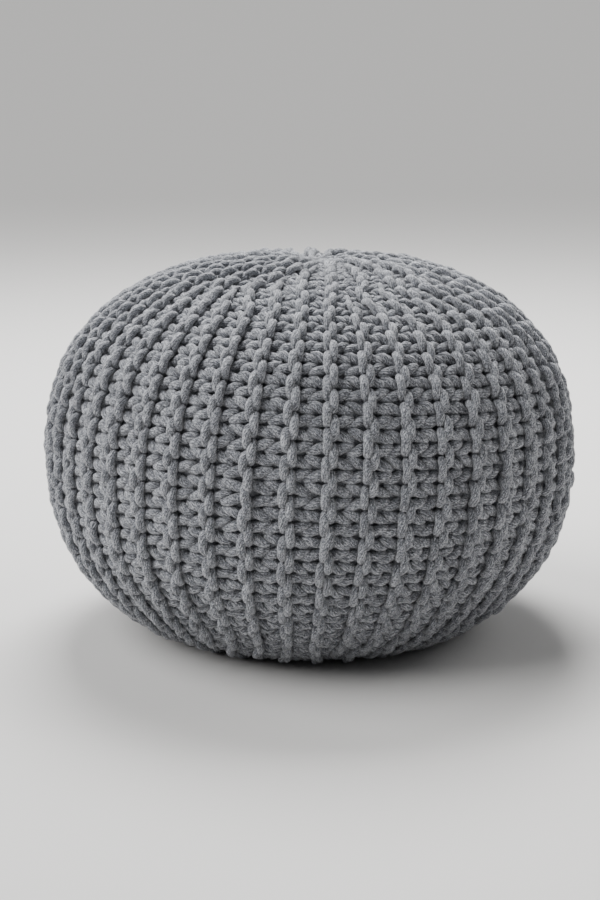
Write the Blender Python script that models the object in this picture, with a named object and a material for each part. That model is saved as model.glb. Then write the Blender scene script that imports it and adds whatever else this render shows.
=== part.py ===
"""A round knitted pouf: one filled solid, standing on its pressed-flat base.

The cover is knitted sideways, so its ridges run from the crown to the base like the lines on a
pumpkin and are drawn together at a shallow gathered hollow on the crown. The origin is the
centre of the flat base, +Z is up and the front faces -Y. All sizes are in metres.
"""

import bmesh
import bpy
from math import cos, exp, hypot, pi, radians, sin
from mathutils import Matrix, Vector

# Driving dimensions of the filled form, over the crests of the ridges
WIDEST_RADIUS = 0.250
WIDEST_HEIGHT = 0.160  # the widest section above the surface that the pouf stands on
CROWN_RISE = 0.198  # from the widest section up to the crown
BASE_DROP = 0.1914  # from the widest section down to the base, before the base is pressed flat
CROWN_POWER = 2.5  # 2 is an ellipse, and more is a fuller shoulder
BASE_POWER = 2.16

# The knitted ridges and the gathered hollow where they meet
RIDGE_COUNT = 45
RIDGE_DEPTH = 0.0065
FIRST_RIDGE_TURN = radians(3.4)  # from the front towards +X
RIDGE_START_ANGLE = radians(7)  # the ridges rise out of the gathered hollow between these angles
RIDGE_FULL_ANGLE = radians(30)
PRESSED_HEIGHT = 0.040  # below this the ridges are pressed out towards the flat base
PRESSED_SHARE = 0.25  # what is left of their depth at the base itself
GATHER_DEPTH = 0.010
GATHER_ANGLE = radians(9)
LEAN_BACK = radians(4.1)  # the cover sits a little askew on its filling
LEAN_SIDE = radians(2.4)

# Facets
STEPS_PER_RIDGE = 4  # crest, flank, valley, flank
RING_COUNT = 29

YARN_COLOUR = (0.205, 0.213, 0.232, 1.0)
YARN_ROUGHNESS = 0.95
SHARP_ANGLE = radians(50)


def clear_scene():
    for old in list(bpy.data.objects):
        bpy.data.objects.remove(old, do_unlink=True)


def yarn_material():
    material = bpy.data.materials.new("grey_cotton_yarn")
    material.use_nodes = True
    shader = material.node_tree.nodes["Principled BSDF"]
    shader.inputs["Base Color"].default_value = YARN_COLOUR
    shader.inputs["Roughness"].default_value = YARN_ROUGHNESS
    shader.inputs["Metallic"].default_value = 0.0
    return material


def smooth_step(low, high, value):
    share = min(1.0, max(0.0, (value - low) / (high - low)))
    return share * share * (3 - 2 * share)


def form_distance(direction):
    """How far the filled form reaches from the middle of its widest section, in one direction."""
    if direction.z > 0:
        rise, power = direction.z / CROWN_RISE, CROWN_POWER
    else:
        rise, power = -direction.z / BASE_DROP, BASE_POWER
    across = hypot(direction.x, direction.y) / WIDEST_RADIUS
    return (across**power + rise**power) ** (-1 / power)


def cover_point(angle, turn, valley):
    """A point of the cover, angle being measured from the gathered hollow and turn round it.

    valley is 0 on a ridge's crest and 1 midway between two ridges.
    """
    lean = Matrix.Rotation(LEAN_SIDE, 3, "Y") @ Matrix.Rotation(-LEAN_BACK, 3, "X")
    direction = lean @ Vector((sin(angle) * cos(turn), sin(angle) * sin(turn), cos(angle)))
    distance = form_distance(direction)
    height = WIDEST_HEIGHT + direction.z * distance
    pressed = PRESSED_SHARE + (1 - PRESSED_SHARE) * smooth_step(0, PRESSED_HEIGHT, height)
    ridge_share = pressed * smooth_step(RIDGE_START_ANGLE, RIDGE_FULL_ANGLE, angle)
    sunk = RIDGE_DEPTH * ridge_share * valley
    sunk += GATHER_DEPTH * exp(-((angle / GATHER_ANGLE) ** 2))
    return direction * (distance - sunk)


def ribbed_form(mesh):
    """Closed ribbed form round the middle of its widest section, base still round."""
    columns = RIDGE_COUNT * STEPS_PER_RIDGE
    first_turn = FIRST_RIDGE_TURN - pi / 2
    crown = mesh.verts.new(cover_point(0.0, 0.0, 1.0))
    foot = mesh.verts.new(cover_point(pi, 0.0, 1.0))
    rings = []
    for ring in range(1, RING_COUNT):
        angle = pi * ring / RING_COUNT
        points = []
        for column in range(columns):
            turn = first_turn + 2 * pi * column / columns
            valley = (1 - cos(2 * pi * column / STEPS_PER_RIDGE)) / 2
            points.append(mesh.verts.new(cover_point(angle, turn, valley)))
        rings.append(points)
    for column in range(columns):
        after = (column + 1) % columns
        mesh.faces.new((crown, rings[0][column], rings[0][after]))
        mesh.faces.new((foot, rings[-1][after], rings[-1][column]))
        for upper, lower in zip(rings[:-1], rings[1:]):
            mesh.faces.new((upper[column], lower[column], lower[after], upper[after]))


def press_base_flat(mesh):
    """Cuts the round base off level and closes it with one flat face, at height 0."""
    bmesh.ops.translate(mesh, verts=mesh.verts, vec=(0, 0, WIDEST_HEIGHT))
    everything = mesh.verts[:] + mesh.edges[:] + mesh.faces[:]
    bmesh.ops.bisect_plane(
        mesh, geom=everything, plane_co=(0, 0, 0), plane_no=(0, 0, -1), clear_outer=True
    )
    rim = [edge for edge in mesh.edges if edge.is_boundary]
    for edge in rim:
        for corner in edge.verts:
            corner.co.z = 0.0
    bmesh.ops.contextual_create(mesh, geom=rim)


def knitted_pouf():
    shape = bmesh.new()
    ribbed_form(shape)
    press_base_flat(shape)
    bmesh.ops.recalc_face_normals(shape, faces=shape.faces)
    mesh = bpy.data.meshes.new("knitted_pouf")
    shape.to_mesh(mesh)
    shape.free()
    mesh.shade_smooth()
    mesh.set_sharp_from_angle(angle=SHARP_ANGLE)
    mesh.materials.append(yarn_material())
    pouf = bpy.data.objects.new("knitted_pouf", mesh)
    bpy.context.scene.collection.objects.link(pouf)
    return pouf


clear_scene()
knitted_pouf()
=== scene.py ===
import bpy
import numpy as np
from math import cos, pi, radians, sin
from mathutils import Matrix, Vector


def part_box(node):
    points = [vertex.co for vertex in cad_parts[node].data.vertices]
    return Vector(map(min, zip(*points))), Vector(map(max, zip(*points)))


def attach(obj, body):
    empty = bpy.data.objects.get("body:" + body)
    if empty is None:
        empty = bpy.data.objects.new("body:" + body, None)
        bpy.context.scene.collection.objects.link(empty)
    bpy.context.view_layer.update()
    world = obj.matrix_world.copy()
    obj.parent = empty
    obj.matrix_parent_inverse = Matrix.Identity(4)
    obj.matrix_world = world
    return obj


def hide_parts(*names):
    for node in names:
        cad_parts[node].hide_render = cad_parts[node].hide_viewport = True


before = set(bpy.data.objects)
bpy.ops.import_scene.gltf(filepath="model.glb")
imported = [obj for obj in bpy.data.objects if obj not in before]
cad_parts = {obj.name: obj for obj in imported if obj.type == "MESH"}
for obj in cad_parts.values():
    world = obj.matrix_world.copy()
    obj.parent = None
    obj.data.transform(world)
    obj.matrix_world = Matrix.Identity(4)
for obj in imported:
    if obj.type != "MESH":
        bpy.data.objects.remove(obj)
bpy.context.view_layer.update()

low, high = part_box("knitted_pouf")
print("frame loaded, the pouf is", [round(high[i] - low[i], 4) for i in range(3)], "m")

# The cover is garter stitch knitted sideways: a knit row and a purl row make one upright ridge.
# All sizes are metres, and the pouf stands on z = 0 with its front towards -Y.

# middle layer of the knitted cover, a little inside the crests of its ridges
cover = {
    "inset": 0.0087,
    "widest": (high[0] - low[0]) / 2,
    "widestHeight": 0.160,
    "crownRise": 0.1945,  # above the widest height
    "baseDrop": 0.1914,  # the round form's depth below it, cut off by the flat base
    "crownPower": 2.54,
    "basePower": 2.13,
    "baseInset": 0.6,  # share of the inset that counts for the drop
    "hollowDepth": 0.0045,  # where the ridges are drawn together
    "hollowAngle": radians(9),
    "rimRounding": 0.0018,
    "basePress": 0.0030,  # the pouf's weight squeezes the yarn that it stands on
    "leanBack": radians(4.1),
    "leanSide": radians(2.4),
    "lumps": 0.0018,
    # waves round, waves down, start and share of each kind of lump
    "lumpWaves": ((2, 3, 0.7, 1.0), (3, -4, 2.1, 0.7), (5, 5, 4.0, 0.5)),
}

leanMatrix = np.array(
    Matrix.Rotation(cover["leanSide"], 3, "Y") @ Matrix.Rotation(-cover["leanBack"], 3, "X")
)


def smoothStep(start, end, value):
    share = np.clip((value - start) / (end - start), 0, 1)
    return share * share * (3 - 2 * share)


# point of the middle layer: angle is down from the leaning pole, turn is round it from +X
def coverPoint(angle, turn):
    direction = np.stack([np.sin(angle) * np.cos(turn), np.sin(angle) * np.sin(turn), np.cos(angle)], -1)
    direction = direction @ leanMatrix.T
    inset = cover["inset"]
    rise = direction[..., 2]
    across = np.hypot(direction[..., 0], direction[..., 1]) / (cover["widest"] - inset)
    power = np.where(rise > 0, cover["crownPower"], cover["basePower"])
    drop = cover["baseDrop"] - cover["baseInset"] * inset
    reach = np.where(rise > 0, cover["crownRise"] - inset, drop)
    form = (across**power + (np.abs(rise) / reach) ** power) ** (-1 / power)
    flat = (cover["widestHeight"] - inset + cover["basePress"]) / np.maximum(-rise, 0.05)
    soft = cover["rimRounding"]
    distance = -soft * np.log(np.exp(-form / soft) + np.exp(-flat / soft))
    distance -= cover["hollowDepth"] * np.exp(-((angle / cover["hollowAngle"]) ** 2))
    waves = cover["lumpWaves"]
    lump = sum(share * np.sin(ways * turn + rows * angle + start) for ways, rows, start, share in waves)
    lump /= sum(share for ways, rows, start, share in waves)
    distance += cover["lumps"] * lump * np.sin(angle) ** 2
    point = direction * distance[..., None]
    point[..., 2] += cover["widestHeight"]
    return point


# the same point with the direction that faces straight out of the cover there
def coverFrame(angle, turn):
    point = coverPoint(angle, turn)
    down = coverPoint(angle + 0.001, turn) - coverPoint(angle - 0.001, turn)
    onward = coverPoint(angle, turn + 0.01) - coverPoint(angle, turn - 0.01)
    # close to a pole the way round is taken from the lean alone
    around = np.stack([-np.sin(turn), np.cos(turn), np.zeros_like(turn)], -1) @ leanMatrix.T
    onward = np.where((np.sin(angle) < 0.06)[..., None], around, onward)
    normal = np.cross(down, onward)
    normal /= np.linalg.norm(normal, axis=-1, keepdims=True)
    outward = point - np.array([0, 0, cover["widestHeight"]])
    normal *= np.sign((normal * outward).sum(-1, keepdims=True))
    return point, normal


# knitted cover, made as five wedges (gores) of nine ridges, as the short rows shape it
knit = {
    "gores": 5,
    "ridgesPerGore": 9,
    "firstRidge": radians(3.4),  # from the front towards +X
    "stitch": 0.0228,  # along a ridge
    "stepsPerStitch": 20,
    "sides": 8,
    "hookFront": 0.084,  # how far the loops of two rows hook past each other, in ridge spacings
    "hookBack": 0.110,
    "squareness": 0.10,  # how straight a loop runs along the ridge before it turns across
    "loopBulge": 1.50,  # how much wider a loop is at its head than at its foot
    "loopDepth": 0.0080,  # half the way from the front loops to the back ones
    "depthMix": 0.40,
    "crestFlatness": 1.4,  # keeps the chain of loops along a ridge at one height
    "yarnWide": 0.0049,  # half widths of the yarn
    "yarnDeep": 0.0047,
    "crossThin": 0.24,  # the yarn is squeezed where two loops cross behind the valley
    "headThin": 0.18,  # and drawn thin at the heads and feet of the loops
    "stitchShift": 0.18,  # moves every stitch along its ridge, in stitches
    # distance from either pole at which each ridge of a gore has run out
    "ridgeEnds": (-0.006, 0.135, 0.040, 0.112, -0.006, 0.125, 0.024, 0.100, 0.056),
    "closing": 0.055,  # a ridge narrows over this length before it ends
    "rowEnd": 0.010,  # its rows end this much sooner
    "slimPower": 0.45,  # how the yarn gets thinner where the ridges stand closer
    "slimmest": 0.55,
    "slimSteps": 13,  # evens that out along the yarn
    "shallowest": 0.6,  # least share of the loop depth near a pole
    "pressedShare": 0.5,  # the weight flattens the crests next to the floor to this share
    "pressedHeight": 0.030,
    # how uneven the stitches are, as shares, except in ridge spacings across and metres out and along
    "uneven": {"bulge": 0.08, "across": 0.022, "depth": 0.05, "out": 0.0008, "along": 0.0006, "yarn": 0.05},
    "lengthPerGore": 60.0,  # sets each gore's yarn apart in the yarn finish
    "seed": 7,
}

ridgeCount = knit["gores"] * knit["ridgesPerGore"]
fullSpacing = 2 * pi * cover["widest"] / ridgeCount

# the mean of twelve meridians gives the length of a ridge and evenly spaced stitches
meanAngles = np.linspace(0, pi, 1441)
turns = np.arange(0, 2 * pi, pi / 6)
meridians = np.array([coverPoint(meanAngles, np.full_like(meanAngles, turn)) for turn in turns])
meanSteps = np.linalg.norm(np.diff(meridians, axis=1), axis=2).mean(axis=0)
meanArc = np.concatenate([[0], np.cumsum(meanSteps)])
meanRadius = np.linalg.norm(meridians - meridians.mean(axis=0)[None], axis=2).mean(axis=0)
ridgeLength = meanArc[-1]
stitchCount = round(ridgeLength / knit["stitch"])
print("ridge length", round(ridgeLength, 3), "m,", stitchCount, "stitches")


# turn angle and local ridge spacing for a place given in ridges round and metres along
def ridgeTurn(across, arc):
    fromPole = np.minimum(arc, ridgeLength - arc)
    ends = np.array(knit["ridgeEnds"])
    widths = smoothStep(0, 1, (fromPole[..., None] - ends) / knit["closing"]) + 1e-4
    total = widths.sum(-1)
    reached = np.concatenate([np.zeros(widths.shape[:-1] + (1,)), np.cumsum(widths, -1)], -1)
    gore = np.floor((across + 0.5) / knit["ridgesPerGore"])
    inGore = across + 0.5 - gore * knit["ridgesPerGore"]
    cell = np.clip(np.floor(inGore).astype(int), 0, knit["ridgesPerGore"] - 1)
    start = np.take_along_axis(reached, cell[..., None], -1)[..., 0]
    width = np.take_along_axis(widths, cell[..., None], -1)[..., 0]
    done = gore + (start + width * (inGore - cell)) / total
    firstTurn = knit["firstRidge"] - pi / 2 - pi / ridgeCount
    turn = firstTurn + 2 * pi * done / knit["gores"]
    radius = np.interp(arc, meanArc, meanRadius)
    return turn, 2 * pi * radius * width / total / knit["gores"]


# centre line of one row of stitches, from the crown to the base
def rowLine(ridge, purl, rng):
    steps = knit["stepsPerStitch"]
    pitch = ridgeLength / stitchCount
    endArc = knit["ridgeEnds"][ridge % knit["ridgesPerGore"]] + knit["rowEnd"]
    # a row starts and ends behind the cover, at the foot of a knit loop or the head of a purl one
    offset = steps // 2 if purl else 0
    shift = knit["stitchShift"] + offset / steps
    first = round(endArc / pitch - shift) * steps + offset
    last = round((ridgeLength - endArc) / pitch - shift) * steps + offset
    t = np.arange(first, last + 1) * 2 * pi / steps
    stitches = np.arange(stitchCount + 1)

    def uneven(kind):
        return np.interp(t / (2 * pi), stitches, rng.normal(0, knit["uneven"][kind], stitchCount + 1))

    along = t + knit["loopBulge"] * np.sin(2 * t) * (1 + uneven("bulge")) + 2 * pi * knit["stitchShift"]
    reach = (0.5 + knit["hookFront"] + knit["hookBack"]) / 2
    foot = ridge - knit["hookFront"] if purl else ridge - 0.5 - knit["hookBack"]
    square = knit["squareness"]
    swing = (np.cos(t) - square * np.cos(3 * t)) / (1 - square)
    across = foot + reach * (1 - swing) + uneven("across")
    mix = knit["depthMix"]
    facing = 1 if purl else -1  # a purl row shows its feet at the front, a knit row its heads
    wave = facing * ((1 - mix) * np.cos(t) + mix * np.cos(3 * t))
    wave = np.tanh(knit["crestFlatness"] * wave) / np.tanh(knit["crestFlatness"])
    depth = knit["loopDepth"] * wave * (1 + uneven("depth")) + uneven("out")
    arc = np.clip(along / (2 * pi) * pitch + uneven("along"), 0.002, ridgeLength - 0.002)
    turn, spacing = ridgeTurn(across, arc)
    point, normal = coverFrame(np.interp(arc, meanArc, meanAngles), turn)
    slim = np.clip(np.clip(spacing / fullSpacing, 0.05, 1) ** knit["slimPower"], knit["slimmest"], 1)
    window = knit["slimSteps"]
    slim = np.convolve(np.pad(slim, window // 2, mode="edge"), np.ones(window) / window, "valid")
    # only the crests are pressed, and the loops behind them stay deep
    share = knit["pressedShare"]
    pressed = share + (1 - share) * smoothStep(0, knit["pressedHeight"], point[:, 2])
    pressed = np.where(depth > 0, pressed, 1)
    centre = point + normal * (depth * np.clip(slim, knit["shallowest"], 1) * pressed)[:, None]
    crossing = np.sin(2 * t) ** 2 * (1 - facing * np.cos(t)) / 2
    thickness = 1 - knit["crossThin"] * crossing - knit["headThin"] * np.cos(t) ** 2
    return centre, normal, slim * thickness * (1 + uneven("yarn"))


# one length of yarn swept along its centre line, with the length and the way round as its map
def yarnTube(centre, normal, thickness, lengthStart):
    sides = knit["sides"]
    tangent = np.gradient(centre, axis=0)
    tangent /= np.linalg.norm(tangent, axis=1, keepdims=True)
    side = np.cross(tangent, normal)
    side /= np.linalg.norm(side, axis=1, keepdims=True)
    up = np.cross(side, tangent)
    around = (np.arange(sides) * 2 * pi / sides)[None, :, None]
    wide = (knit["yarnWide"] * thickness)[:, None, None]
    deep = (knit["yarnDeep"] * thickness)[:, None, None]
    rings = centre[:, None] + np.cos(around) * side[:, None] * wide + np.sin(around) * up[:, None] * deep
    vertices = rings.reshape(-1, 3)
    vertices[:, 2] = np.maximum(vertices[:, 2], 0)
    ring = np.arange(len(centre) - 1)[:, None] * sides
    corner = np.arange(sides)[None, :]
    nextCorner = (corner + 1) % sides
    quads = [ring + corner, ring + nextCorner, ring + sides + nextCorner, ring + sides + corner]
    quads = np.stack(quads, -1).reshape(-1, 4)
    stepLengths = np.linalg.norm(np.diff(centre, axis=0), axis=1)
    length = lengthStart + np.concatenate([[0], np.cumsum(stepLengths)])
    mapAlong = np.stack([length[:-1], length[:-1], length[1:], length[1:]], -1)[:, None].repeat(sides, 1)
    mapAround = np.stack([corner, corner + 1, corner + 1, corner], -1).repeat(len(centre) - 1, 0) / sides
    return vertices, quads, np.stack([mapAlong, mapAround], -1).reshape(-1, 2), length[-1]


# nine ridges of yarn in one mesh, both ends of each length closed
def knitGore(gore):
    rng = np.random.default_rng(knit["seed"] + gore)
    sides = knit["sides"]
    vertices, quads, yarnMap, caps = [], [], [], []
    count, length = 0, knit["lengthPerGore"] * gore
    for ridge in range(gore * knit["ridgesPerGore"], (gore + 1) * knit["ridgesPerGore"]):
        for purl in (False, True):
            row = rowLine(ridge, purl, rng)
            points, faces, places, length = yarnTube(*row, length)
            vertices.append(points)
            quads.append(faces + count)
            yarnMap.append(places)
            caps.append(range(count + sides - 1, count - 1, -1))
            count += len(points)
            caps.append(range(count - sides, count))
    quads, yarnMap = np.concatenate(quads), np.concatenate(yarnMap)
    corners = np.concatenate([quads.ravel(), np.array([list(c) for c in caps]).ravel()]).astype(np.int32)
    capStarts = quads.size + np.arange(len(caps)) * sides
    starts = np.concatenate([np.arange(len(quads)) * 4, capStarts]).astype(np.int32)
    places = np.zeros((len(corners), 2))
    places[: len(yarnMap)] = yarnMap
    mesh = bpy.data.meshes.new(f"knitGore{gore + 1}")
    mesh.vertices.add(count)
    mesh.vertices.foreach_set("co", np.concatenate(vertices).ravel())
    mesh.loops.add(len(corners))
    mesh.loops.foreach_set("vertex_index", corners)
    mesh.polygons.add(len(starts))
    mesh.polygons.foreach_set("loop_start", starts)
    mesh.update(calc_edges=True)
    mesh.uv_layers.new(name="yarnLength").data.foreach_set("uv", places.ravel())
    mesh.validate()
    mesh.shade_smooth()
    piece = bpy.data.objects.new(mesh.name, mesh)
    bpy.context.scene.collection.objects.link(piece)
    return piece


gores = [knitGore(gore) for gore in range(knit["gores"])]
triangles = [sum(len(face.vertices) - 2 for face in gore.data.polygons) for gore in gores]
print("knitted cover made,", sum(triangles), "triangles in", len(gores), "gores")

# stuffed body: what fills the pouf presses this layer against the back of the stitches
body = {
    "voxel": 0.008,
    "shrink": 0.972,  # it starts smaller and swells
    "pressure": 4.0,
    "frames": 20,
    "cap": 0.016,  # how far a point may move
    "behindStitches": 0.0024,  # from the middle layer of the cover
}


def vertexPlaces(mesh):
    places = np.empty(len(mesh.vertices) * 3)
    mesh.vertices.foreach_get("co", places)
    return places.reshape(-1, 3)


def stuffedBody():
    mesh = bpy.data.objects["knitted_pouf"].data.copy()
    mesh.name = "stuffedBody"
    mesh.materials.clear()
    piece = bpy.data.objects.new("stuffedBody", mesh)
    bpy.context.scene.collection.objects.link(piece)
    bpy.ops.object.select_all(action="DESELECT")
    piece.select_set(True)
    bpy.context.view_layer.objects.active = piece
    bpy.ops.object.mode_set(mode="EDIT")
    bpy.ops.mesh.select_all(action="SELECT")
    bpy.ops.mesh.remove_doubles(threshold=0.0001)
    bpy.ops.object.mode_set(mode="OBJECT")
    mesh.remesh_voxel_size = body["voxel"]
    bpy.ops.object.voxel_remesh()
    middle = np.array([0, 0, cover["widestHeight"]])
    start = middle + (vertexPlaces(piece.data) - middle) * body["shrink"]
    piece.data.vertices.foreach_set("co", start.ravel())
    piece.data.update()
    cloth = piece.modifiers.new("filling", "CLOTH")
    cloth.settings.use_pressure = True
    cloth.settings.uniform_pressure_force = body["pressure"]
    cloth.settings.effector_weights.gravity = 0
    cloth.point_cache.frame_end = body["frames"]
    for number in range(1, body["frames"] + 1):
        bpy.context.scene.frame_set(number)
    bpy.ops.object.modifier_apply(modifier=cloth.name)
    bpy.context.scene.frame_set(1)
    moved = vertexPlaces(piece.data) - start
    swelling = np.linalg.norm(moved, axis=1, keepdims=True)
    print("body swelled by", np.percentile(swelling, (5, 50, 95)).round(4), "m")
    places = start + moved * np.minimum(1, body["cap"] / np.maximum(swelling, 1e-9))
    # it stops at the back of the stitches, which also press their own smooth form into it
    around = (places - middle) @ leanMatrix
    distance = np.linalg.norm(around, axis=1)
    angle = np.clip(np.arccos(around[:, 2] / distance), 0.01, pi - 0.01)
    point, normal = coverFrame(angle, np.arctan2(around[:, 1], around[:, 0]))
    inner = point - normal * body["behindStitches"]
    room = np.linalg.norm(inner - middle, axis=1)
    tight = (distance > room)[:, None]
    places = np.where(tight, inner, places)
    print("body tight against the stitches over", round(float(tight.mean()), 2), "of it")
    piece.data.vertices.foreach_set("co", places.ravel())
    piece.data.update()
    subdivision = piece.modifiers.new("smooth", "SUBSURF")
    subdivision.levels = 1
    subdivision.render_levels = 1
    bpy.ops.object.modifier_apply(modifier=subdivision.name)
    piece.data.shade_smooth()
    return piece


stuffed = stuffedBody()
print("stuffed body made,", len(stuffed.data.polygons), "faces")

# grey cotton yarn: soft fibres in twisted strands, mottled light and dark
yarnLook = {
    "dark": (0.072, 0.077, 0.090, 1),
    "mid": (0.250, 0.260, 0.290, 1),
    "light": (0.64, 0.655, 0.69, 1),
    "twist": 120.0,  # radians for each metre of yarn
    "strands": 9,
    "wobbleScale": 160.0,  # how closely the strands wander, and how far in radians
    "wobble": 3.0,
    "radius": 0.0048,
    "fibreStretch": 0.36,
    "bump": 0.0011,
}
# the same cotton on the stuffed body, flatter and closer to one tone
bodyLook = {
    "dark": (0.17, 0.175, 0.19, 1),
    "mid": (0.30, 0.307, 0.335, 1),
    "light": (0.46, 0.47, 0.505, 1),
    "ribs": 550.0,  # radians of fine ribs for each metre of height
    "wobbleScale": 60.0,
    "wobble": 4.0,
    "fibreStretch": 0.4,
    "bump": 0.0007,
}
# what both share: the grain of the cotton, how much each kind of grain shows, and how much painted shade
# darkens the grooves
cottonGrain = {
    "fibreScale": 1250.0,
    "fleckScale": 780.0,
    "blotchScale": 90.0,
    "fibreTone": 0.42,
    "fleckTone": 0.62,
    "blotchTone": 0.15,
    # painted shade: the colour is darkened along the grooves between strands and ribs
    "paintedGrooveShade": 0.07,
    "darkest": 0.42,  # tones between which the colour goes from dark to light
    "lightest": 0.62,
    "fibreHeight": 0.9,
    "fleckHeight": 0.35,
    "grooveHeight": 0.35,
    "roughest": 1.0,
    "smoothest": 0.82,
}
clothSheen = {"Sheen Weight": 0.45, "Sheen Roughness": 0.55, "Specular IOR Level": 0.25}


def addNode(tree, kind, inputs=(), **settings):
    node = tree.nodes.new(kind)
    for key, value in settings.items():
        setattr(node, key, value)
    for key, value in dict(inputs).items():
        if isinstance(value, bpy.types.NodeSocket):
            tree.links.new(value, node.inputs[key])
        else:
            node.inputs[key].default_value = value
    return node


def maths(tree, operation, a, b=0.0):
    return addNode(tree, "ShaderNodeMath", {0: a, 1: b}, operation=operation).outputs[0]


def noise(tree, place, scale, detail, roughness=0.5):
    inputs = {"Vector": place, "Scale": scale, "Detail": detail, "Roughness": roughness}
    return addNode(tree, "ShaderNodeTexNoise", inputs).outputs["Fac"]


# fibres, flecks and blotches at a place in metres, with a groove mask from 0 to 1 that sinks the bump and
# darkens the colour as painted shade
def cottonFibres():
    group = bpy.data.node_groups.new("cottonFibres", "ShaderNodeTree")
    face = group.interface
    face.new_socket("Place", in_out="INPUT", socket_type="NodeSocketVector")
    face.new_socket("Drawn Place", in_out="INPUT", socket_type="NodeSocketVector")
    face.new_socket("Groove", in_out="INPUT", socket_type="NodeSocketFloat")
    for name in ("Dark", "Mid", "Light"):
        face.new_socket(name, in_out="INPUT", socket_type="NodeSocketColor")
    face.new_socket("Color", in_out="OUTPUT", socket_type="NodeSocketColor")
    face.new_socket("Height", in_out="OUTPUT", socket_type="NodeSocketFloat")
    face.new_socket("Roughness", in_out="OUTPUT", socket_type="NodeSocketFloat")
    given = group.nodes.new("NodeGroupInput").outputs
    out = group.nodes.new("NodeGroupOutput").inputs
    grain = cottonGrain
    fibres = noise(group, given["Drawn Place"], grain["fibreScale"], 3.0, 0.65)
    flecks = noise(group, given["Place"], grain["fleckScale"], 2.0, 0.7)
    blotches = noise(group, given["Place"], grain["blotchScale"], 2.0)
    tone = maths(group, "MULTIPLY", fibres, grain["fibreTone"])
    tone = maths(group, "ADD", tone, maths(group, "MULTIPLY", flecks, grain["fleckTone"]))
    mottle = maths(group, "MULTIPLY", maths(group, "SUBTRACT", blotches, 0.5), grain["blotchTone"])
    tone = maths(group, "ADD", tone, mottle)
    # painted shade: the colour is darkened in the grooves
    tone = maths(group, "SUBTRACT", tone, maths(group, "MULTIPLY", given["Groove"], grain["paintedGrooveShade"]))
    # from 0 to 1 the colour goes from dark to mid, and from 1 to 2 on to light
    toneRange = {0: tone, 1: grain["darkest"], 2: grain["lightest"], 3: 0.0, 4: 2.0}
    share = addNode(group, "ShaderNodeMapRange", toneRange).outputs[0]
    lowerShare = maths(group, "MINIMUM", share, 1.0)
    upperShare = maths(group, "MAXIMUM", maths(group, "SUBTRACT", share, 1.0), 0.0)
    lowerInputs = {0: lowerShare, 6: given["Dark"], 7: given["Mid"]}
    lower = addNode(group, "ShaderNodeMix", lowerInputs, data_type="RGBA")
    upperInputs = {0: upperShare, 6: lower.outputs[2], 7: given["Light"]}
    upper = addNode(group, "ShaderNodeMix", upperInputs, data_type="RGBA")
    height = maths(group, "MULTIPLY", fibres, grain["fibreHeight"])
    height = maths(group, "ADD", height, maths(group, "MULTIPLY", flecks, grain["fleckHeight"]))
    sunk = maths(group, "MULTIPLY", given["Groove"], grain["grooveHeight"])
    height = maths(group, "SUBTRACT", height, sunk)
    roughRange = {0: fibres, 1: 0.3, 2: 0.7, 3: grain["roughest"], 4: grain["smoothest"]}
    rough = addNode(group, "ShaderNodeMapRange", roughRange).outputs[0]
    group.links.new(upper.outputs[2], out["Color"])
    group.links.new(height, out["Height"])
    group.links.new(rough, out["Roughness"])
    return group


fibreGroup = cottonFibres()


def cottonMaterial(name, look, placing):
    material = bpy.data.materials.new(name)
    material.use_nodes = True
    tree = material.node_tree
    shader = tree.nodes["Principled BSDF"]
    for socket, value in clothSheen.items():
        shader.inputs[socket].default_value = value
    place, drawnPlace, groove = placing(tree)
    inputs = {"Place": place, "Drawn Place": drawnPlace, "Groove": groove}
    inputs.update({"Dark": look["dark"], "Mid": look["mid"], "Light": look["light"]})
    cotton = addNode(tree, "ShaderNodeGroup", inputs, node_tree=fibreGroup)
    bumpInputs = {"Height": cotton.outputs["Height"], "Strength": 1.0, "Distance": look["bump"]}
    bump = addNode(tree, "ShaderNodeBump", bumpInputs)
    tree.links.new(cotton.outputs["Color"], shader.inputs["Base Color"])
    tree.links.new(cotton.outputs["Roughness"], shader.inputs["Roughness"])
    tree.links.new(bump.outputs[0], shader.inputs["Normal"])
    return material


# thin grooves, one for each half turn of an angle that wanders a little; the mask sinks the bump and
# carries the painted groove shade
def thinGrooves(tree, place, angle, look):
    wobble = maths(tree, "MULTIPLY", noise(tree, place, look["wobbleScale"], 1.0), look["wobble"])
    swell = maths(tree, "ABSOLUTE", maths(tree, "SINE", maths(tree, "ADD", angle, wobble)))
    return maths(tree, "POWER", maths(tree, "SUBTRACT", 1.0, swell), 2.0)


# place on the yarn laid straight and untwisted, so that no seam shows where its map closes
def yarnPlacing(tree):
    source = addNode(tree, "ShaderNodeUVMap", uv_map="yarnLength").outputs[0]
    parts = addNode(tree, "ShaderNodeSeparateXYZ", {0: source}).outputs
    wayRound = maths(tree, "MULTIPLY", parts[1], 2 * pi)
    turned = maths(tree, "ADD", wayRound, maths(tree, "MULTIPLY", parts[0], yarnLook["twist"]))
    beside = maths(tree, "MULTIPLY", maths(tree, "COSINE", turned), yarnLook["radius"])
    above = maths(tree, "MULTIPLY", maths(tree, "SINE", turned), yarnLook["radius"])
    place = addNode(tree, "ShaderNodeCombineXYZ", {0: parts[0], 1: beside, 2: above}).outputs[0]
    drawn = maths(tree, "MULTIPLY", parts[0], yarnLook["fibreStretch"])
    drawnPlace = addNode(tree, "ShaderNodeCombineXYZ", {0: drawn, 1: beside, 2: above}).outputs[0]
    strandAngle = maths(tree, "MULTIPLY", turned, yarnLook["strands"] / 2)
    return place, drawnPlace, thinGrooves(tree, place, strandAngle, yarnLook)


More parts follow.
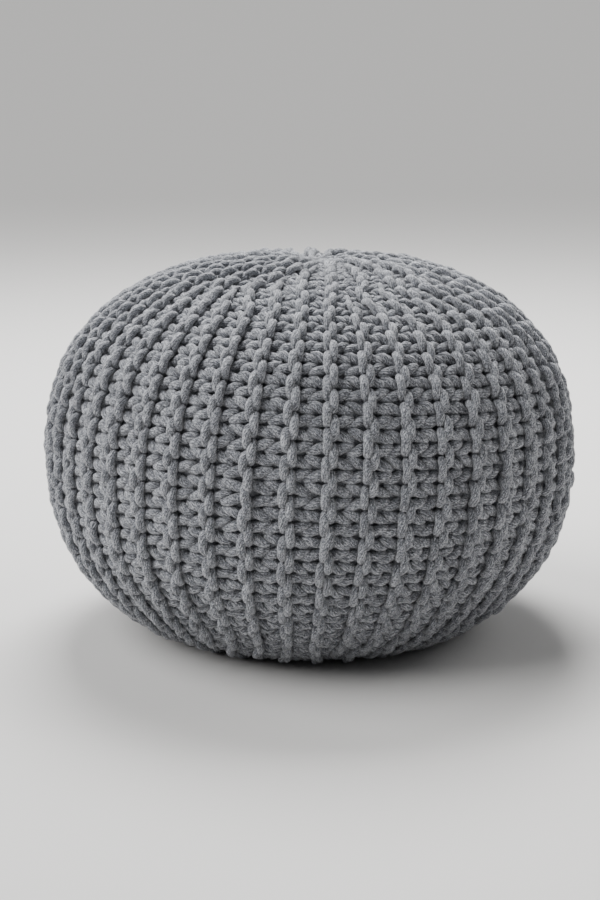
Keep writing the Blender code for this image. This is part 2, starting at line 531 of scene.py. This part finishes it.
def bodyPlacing(tree):
    place = addNode(tree, "ShaderNodeTexCoord").outputs["Object"]
    stretch = bodyLook["fibreStretch"]
    drawnPlace = addNode(tree, "ShaderNodeMapping", {0: place, "Scale": (stretch, stretch, 1.0)}).outputs[0]
    height = addNode(tree, "ShaderNodeSeparateXYZ", {0: place}).outputs[2]
    ribAngle = maths(tree, "MULTIPLY", height, bodyLook["ribs"] / 2)
    return place, drawnPlace, thinGrooves(tree, place, ribAngle, bodyLook)


greyYarn = cottonMaterial("greyYarn", yarnLook, yarnPlacing)
greyBody = cottonMaterial("greyBody", bodyLook, bodyPlacing)
stuffed.data.materials.append(greyBody)
for gore in gores:
    gore.data.materials.append(greyYarn)
    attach(gore, "root")
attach(stuffed, "root")
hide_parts("knitted_pouf")
print("cotton yarn finish in place")

# plain pale floor
stage = {"size": 2000, "drop": 0.0005, "color": (0.66, 0.65, 0.635, 1), "roughness": 0.8}
bpy.ops.object.select_all(action="DESELECT")
bpy.ops.mesh.primitive_plane_add(size=stage["size"], location=(0, 0, -stage["drop"]))
floor = bpy.context.object
floor.name = "floor"
floorMaterial = bpy.data.materials.new("paleFloor")
floorMaterial.use_nodes = True
floorShader = floorMaterial.node_tree.nodes["Principled BSDF"]
floorShader.inputs["Base Color"].default_value = stage["color"]
floorShader.inputs["Roughness"].default_value = stage["roughness"]
floor.data.materials.append(floorMaterial)

# soft studio light: a broad key from the upper left, a top light behind and a weak one on the right
light = {
    "air": (0.95, 0.97, 1.0, 1),
    "airStrength": 0.12,
    "keyFrom": (-1.8, -0.3, 1.85),
    "keyStrength": 3.95,
    "keySoftness": radians(56),
    "areas": {
        "topLight": {"place": (-0.1, 1.3, 2.1), "target": (0, 0, 0.3), "size": 1.2, "power": 122},
        "sideLight": {"place": (1.9, 0.7, 1.3), "target": (0.35, 0, 0), "size": 1.6, "power": 18},
    },
}
world = bpy.data.worlds.new("studio")
bpy.context.scene.world = world
world.use_nodes = True
world.node_tree.nodes["Background"].inputs["Color"].default_value = light["air"]
world.node_tree.nodes["Background"].inputs["Strength"].default_value = light["airStrength"]


def turnTowards(place, target):
    return (Vector(target) - Vector(place)).to_track_quat("-Z", "Y").to_euler()


keyTurn = turnTowards(light["keyFrom"], (0, 0, 0.2))
bpy.ops.object.light_add(type="SUN", location=light["keyFrom"], rotation=keyTurn)
bpy.context.object.name = "keyLight"
bpy.context.object.data.energy = light["keyStrength"]
bpy.context.object.data.angle = light["keySoftness"]
for name, lamp in light["areas"].items():
    lampTurn = turnTowards(lamp["place"], lamp["target"])
    bpy.ops.object.light_add(type="AREA", location=lamp["place"], rotation=lampTurn)
    bpy.context.object.name = name
    bpy.context.object.data.size = lamp["size"]
    bpy.context.object.data.energy = lamp["power"]
print("floor and lights in place")

# camera at the front, a little above the pouf
view = {
    "distance": 1.9095,
    "elevation": radians(13),
    "lens": 79.64,
    "sensor": 36,
    "shift": (-0.0107, 0.0066),
}
aim = Vector((0, 0, cover["widestHeight"]))
eye = aim + Vector((0, -cos(view["elevation"]), sin(view["elevation"]))) * view["distance"]
bpy.ops.object.camera_add(location=eye, rotation=turnTowards(eye, aim))
camera = bpy.context.object
camera.data.sensor_fit = "VERTICAL"
camera.data.sensor_height = view["sensor"]
camera.data.lens = view["lens"]
camera.data.shift_x, camera.data.shift_y = view["shift"]
bpy.context.scene.camera = camera
